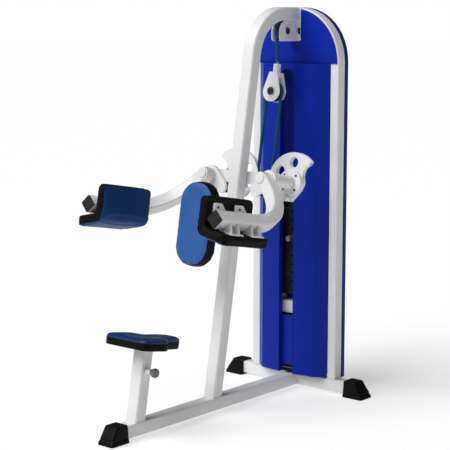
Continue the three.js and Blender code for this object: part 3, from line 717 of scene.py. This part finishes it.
def add_cables():
    """The cable from the stack over the top pulleys to the block, and from cam to cam."""
    over = arc(TOP_AXLE_Y[0], TOP_AXLE_Z, TOP_WHEEL_R, 180, 90, 20)
    over += arc(TOP_AXLE_Y[1], TOP_AXLE_Z, TOP_WHEEL_R, 90, 0, 20)
    cable("cable_over_top", [(0, y, z) for y, z in over], TOWER, "cable_over_pulleys")
    block_top = TOWER.inverted() @ HUB @ Vector((0, CABLE_S, BLOCK_TOP_W - 6))
    top = (0, TOP_AXLE_Y[0] - TOP_WHEEL_R, TOP_AXLE_Z)
    stretched("cable_down_to_block", line(top, block_top, 40), TOWER, "cable_to_block")
    rod_top = (0, STACK_Y, ROD_TOP_Z - 4)
    stretched("cable_down_to_stack", line((0, STACK_Y, TOP_AXLE_Z), rod_top, 60), TOWER,
              "cable_to_stack")
    loop = [(x, CABLE_S, w) for x, w in arc(0, BLOCK_AXLE_W, BLOCK_WHEEL_R, 0, 180, 32)]
    cable("cable_round_block", loop, HUB, "cable_block_loop", "pulley_block")
    for side, sign in (("right", 1), ("left", -1)):
        x = sign * BLOCK_WHEEL_R
        leg = line((x, CABLE_S, 0), (x, CABLE_S, BLOCK_AXLE_W), 40)
        stretched(f"cable_to_cam_{side}", leg, HUB, f"cable_leg_{side}")
        wound = [(u, CABLE_S, w) for u, w in arc(0, 0, CAM_CABLE_R, 95, 181, 32)]
        cable(f"cable_on_cam_{side}", wound, AXLE[side], body=f"arm_{side}")


def ferrule(low, high):
    """Short sleeve round the cable."""
    return lathe([(7.1, low), (9.2, low), (10.2, low + 1), (10.2, high - 1), (9.2, high),
                  (7.1, high)], 28)


def add_cable_ends():
    """Swaged sockets where the cable meets the stack, the block and the cams."""
    sockets = [
        ("stack_socket", TOWER @ Matrix.Translation((0, STACK_Y, ROD_TOP_Z)), -1, 26,
         "lifted_weights"),
        ("block_socket", HUB @ Matrix.Translation((0, CABLE_S, BLOCK_TOP_W)), -1, 9,
         "pulley_block"),
    ]
    for side in SIDES:
        at = AXLE[side] @ Matrix.Translation((-CAM_CABLE_R, CABLE_S, 0))
        sockets.append((f"cam_socket_{side}", at, -19, -1, f"arm_{side}"))
    for name, at, low, high, body in sockets:
        piece = settle(name, ferrule(low, high), at, FINISH["chrome_steel"])
        place(soften(piece, 0.5), body, "chrome_steel")


# ---- Fasteners and fittings ----
def button(radius, height):
    """Round screw head with a rounded rim and a sunk drive."""
    return lathe([(radius, 0), (radius, height * 0.5), (radius * 0.94, height * 0.8),
                  (radius * 0.8, height), (radius * 0.46, height), (radius * 0.42, height * 0.45),
                  (0.3, height * 0.4)], 28)


def buttons(name, body, finish, slot, places):
    """Several screw heads on one body, each (matrix, radius, height) with its axis along Z."""
    parts = [(button(radius, height), at) for at, radius, height in places]
    place(settle(name, merged(*parts), Matrix.Identity(4), finish), body, slot)


def facing(at, point, turn):
    """Placement at a point of a sub-frame, turned so that local Z faces outward."""
    return at @ Matrix.Translation(point) @ turn


def add_fasteners():
    """Axle heads, the arms' bolts and the rear cover's screws."""
    out_x = ALONG_X
    in_x = ALONG_X @ Matrix.Rotation(math.pi, 4, "X")
    toward_front = ALONG_Y @ Matrix.Rotation(math.pi, 4, "X")
    bracket = []
    for y in TOP_AXLE_Y:
        bracket.append((facing(TOWER, (BRACKET_HALF, y, TOP_AXLE_Z), out_x), 15, 3))
        bracket.append((facing(TOWER, (-BRACKET_HALF, y, TOP_AXLE_Z), in_x), 15, 3))
    buttons("top_axle_heads", "frame", AXLE_DARK, "grey_plastic", bracket)
    block = [(facing(HUB, (0, CABLE_S - BLOCK_HALF, BLOCK_AXLE_W), toward_front), 18.5, 3),
             (facing(HUB, (0, CABLE_S + BLOCK_HALF, BLOCK_AXLE_W), ALONG_Y), 18.5, 3)]
    buttons("block_axle_heads", "pulley_block", AXLE_DARK, "grey_plastic", block)
    for side in SIDES:
        heads = []
        for turn in range(4):
            a = math.radians(45 + 90 * turn)
            point = (FLANGE_BOLTS_R * math.cos(a), FLANGE_S, FLANGE_BOLTS_R * math.sin(a))
            heads.append((facing(AXLE[side], point, toward_front), 5, 3))
        for s in PAD_BRACKETS_S:
            for back, w in ((19, -144), (26, -181)):
                at = facing(AXLE[side], (PAD_BRACKET_U, s - back, w), out_x)
                heads.append((at, 5, 3.5))
        buttons(f"arm_screws_{side}", f"arm_{side}", AXLE_DARK, "grey_plastic", heads)
    spots = [(x, z) for x in (-COVER_SCREW_OFF, COVER_SCREW_OFF) for z in range(120, 1481, 340)]
    spots += arc(0, ARCH_CENTRE_Z, COVER_SCREW_OFF, 45, 135, 2)
    cover = [(facing(TOWER, (x, COVER_BACK_Y, z), ALONG_Y), 6, 2.5) for x, z in spots]
    buttons("rear_cover_screws", "frame", FINISH["chrome_steel"], "chrome_steel", cover)


def add_pins():
    """Seat pull pin with a fluted knob, and the stack's selector pin."""
    knob = [(6, 28.2), (6, 64), (9, 65), (15, 66.5), (18.2, 69, 0.4), (19.6, 73, 1.2),
            (19.6, 83, 1.2), (18.4, 86.4, 0.6), (15.5, 88), (9, 87.2), (0.4, 86.8)]
    at = facing(SEAT, (0, 0, SEAT_PIN_H), ALONG_X)
    piece = settle("seat_pull_knob", lathe(knob, 72, flutes=18), at, KNOB_GREY)
    place(piece, "seat_pull_pin", "grey_plastic", "seat_pull_pin")
    low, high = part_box("selector_pin")
    z = (low.z + high.z) / 2 / MM
    grip = [(0.4, -45.4), (8, -46), (11.4, -45), (13.6, -42.5, 0.3), (14, -40, 1), (14, -18, 1),
            (13.6, -15.5, 0.3), (11.5, -14), (4.8, -14), (4.8, 38), (3, 41), (0.4, 41)]
    piece = settle("stack_selector_knob", lathe(grip, 60, flutes=15),
                   facing(TOWER, (0, 0, z), ALONG_Y), KNOB_GREY)
    place(piece, "selector_pin", "grey_plastic", "selector_pin")


def add_slot_trim():
    """The slot's rolled edge, a lighter blue panel behind it that is painted light for the shroud's
    shaded inside, and a black plate at its channel's foot that is painted shade for the dark opening
    there.
    """
    edge = SLOT_HALF + 1
    y, foot, shoulder = SHROUD_FACE_Y, SHROUD_BOTTOM + 1, SLOT_TOP - edge
    path = line((edge, y, foot), (edge, y, shoulder), 30)
    path += [(x, y, z) for x, z in arc(0, shoulder, edge, 0, 180, 28)][1:]
    path += line((-edge, y, shoulder), (-edge, y, foot), 30)[1:]
    trim = settle("slot_rim", tube(path, 1.8, 10), TOWER, FINISH["shroud_blue"])
    place(trim, "frame", "shroud_blue")
    # Black plate on the channel floor: painted shade standing in for the dark opening at the
    # channel's foot.
    outline = rounded([(33, 75, 3), (33, 107, 14), (-33, 107, 14), (-33, 75, 3)])
    outlet = skin([[(x, y, z) for x, z in outline]
                   for y in (CHANNEL_FACE_Y, CHANNEL_FACE_Y + 0.85)])
    piece = settle("channel_outlet_painted_shade", outlet, TOWER, FINISH["black_plastic"])
    place(soften(piece, 0.3), "frame", "black_plastic")
    # Panel inside the shroud in a lighter blue: its colour is painted light for the slot's shaded
    # interior.
    liner = skin([[(x, y, z) for x, z in ((-150, 352), (150, 352), (150, 1500), (-150, 1500))]
                  for y in (71.4, 73.6)])
    place(settle("channel_liner_painted_light", liner, TOWER, PAINTED_LIGHT_LINER_BLUE), "frame", "shroud_blue")
    bar_y = CHANNEL_FACE_Y - 1.3
    bar = tube(line((-32, bar_y, 93), (32, bar_y, 93), 4), 1.3, 10)
    place(settle("outlet_bar", bar, TOWER, KNOB_GREY), "frame", "grey_plastic")


def bead_loop(points, height):
    """Closed run of small steps round a tube's foot, at one height per corner."""
    path = []
    for (x0, y0, z0), (x1, y1, z1) in zip(points, points[1:] + points[:1]):
        path += line((x0, y0, z0 + height), (x1, y1, z1 + height), 14)[:-1]
    return path


def add_welds():
    """Painted fillets where the uprights stand on the beams."""
    half = TUBE / 2
    reach = POST_DEPTH / 2 / math.cos(LEAN)
    loops = []
    for foot in (POST_FOOT_Y, SEAT_FOOT_Y):
        loops.append([(half, foot - reach, BEAM_TOP), (half, foot + reach, BEAM_TOP),
                      (-half, foot + reach, BEAM_TOP), (-half, foot - reach, BEAM_TOP)])
    for sign in (1, -1):
        loops.append([(sign * 200, 0, BEAM_TOP), (sign * 245, 0, BEAM_TOP),
                      (sign * 245, ARCH_DEPTH, BEAM_TOP), (sign * 200, ARCH_DEPTH, BEAM_TOP)])
    loops.append([(half, -0.4, 12), (half, -0.4, BEAM_TOP - 0.6), (-half, -0.4, BEAM_TOP - 0.6),
                  (-half, -0.4, 12)])
    beads = [(tube(bead_loop(loop, 0.4), 2.4, 8, closed=True), Matrix.Identity(4))
             for loop in loops]
    place(settle("weld_fillets", merged(*beads), TOWER, FINISH["frame_paint"]), "frame",
          "frame_paint")


# ---- Studio ----
def add_floor():
    """Pale glowing paper under the machine."""
    bm = bmesh.new()
    bmesh.ops.create_grid(bm, x_segments=8, y_segments=8, size=80)
    for vertex in bm.verts:
        vertex.co.z = -0.0005
    paper = surface("pale_floor", (0.56, 0.56, 0.56, 1), 0.85, grain=30, bump=0.01, blotch=0.01,
                    specular=0.1)
    shader = paper.node_tree.nodes["Principled BSDF"]
    shader.inputs["Emission Color"].default_value = (1, 1, 1, 1)
    shader.inputs["Emission Strength"].default_value = 0.49
    enter("studio_floor", bm, paper)


def add_world():
    """Dim even fill that the camera sees as white paper."""
    world = bpy.data.worlds.new("studio")
    world.use_nodes = True
    nodes = world.node_tree.nodes
    link = world.node_tree.links.new
    fill = nodes["Background"]
    fill.inputs["Color"].default_value = (1, 1, 1, 1)
    fill.inputs["Strength"].default_value = 0.10
    paper = nodes.new("ShaderNodeBackground")
    paper.inputs["Color"].default_value = (1, 1, 1, 1)
    paper.inputs["Strength"].default_value = 1.0
    seen = nodes.new("ShaderNodeLightPath")
    mix = nodes.new("ShaderNodeMixShader")
    link(seen.outputs["Is Camera Ray"], mix.inputs["Fac"])
    link(fill.outputs["Background"], mix.inputs[1])
    link(paper.outputs["Background"], mix.inputs[2])
    link(mix.outputs["Shader"], nodes["World Output"].inputs["Surface"])
    bpy.context.scene.world = world


def add_sun(name, toward, strength, spread):
    """Wide soft sun shining from the direction given."""
    data = bpy.data.lights.new(name, "SUN")
    data.energy = strength
    data.angle = math.radians(spread)
    lamp = bpy.data.objects.new(name, data)
    lamp.rotation_euler = Vector(toward).to_track_quat("Z", "Y").to_euler()
    bpy.context.scene.collection.objects.link(lamp)


def add_camera():
    """Long lens to the machine's front right."""
    data = bpy.data.cameras.new("camera")
    data.sensor_width = 36
    data.lens = 108.385
    data.clip_end = 300
    camera = bpy.data.objects.new("camera", data)
    camera.location = (3.8139, -4.36015, 1.7010)
    camera.rotation_euler = (math.radians(90 - 8.524), 0, math.radians(40.589))
    bpy.context.scene.collection.objects.link(camera)
    bpy.context.scene.camera = camera


def add_studio():
    """Backdrop, light and camera."""
    bpy.context.scene.view_settings.view_transform = "Standard"
    add_world()
    add_floor()
    add_sun("key", (-0.25, -0.58, 0.78), 3.35, 50)
    add_camera()


add_studio()
refine_all()
add_shafts()
add_foot_caps()
add_chest_pad()
add_arm_pads()
add_seat()
add_wheels()
add_cables()
add_cable_ends()
add_fasteners()
add_pins()
add_slot_trim()
add_welds()
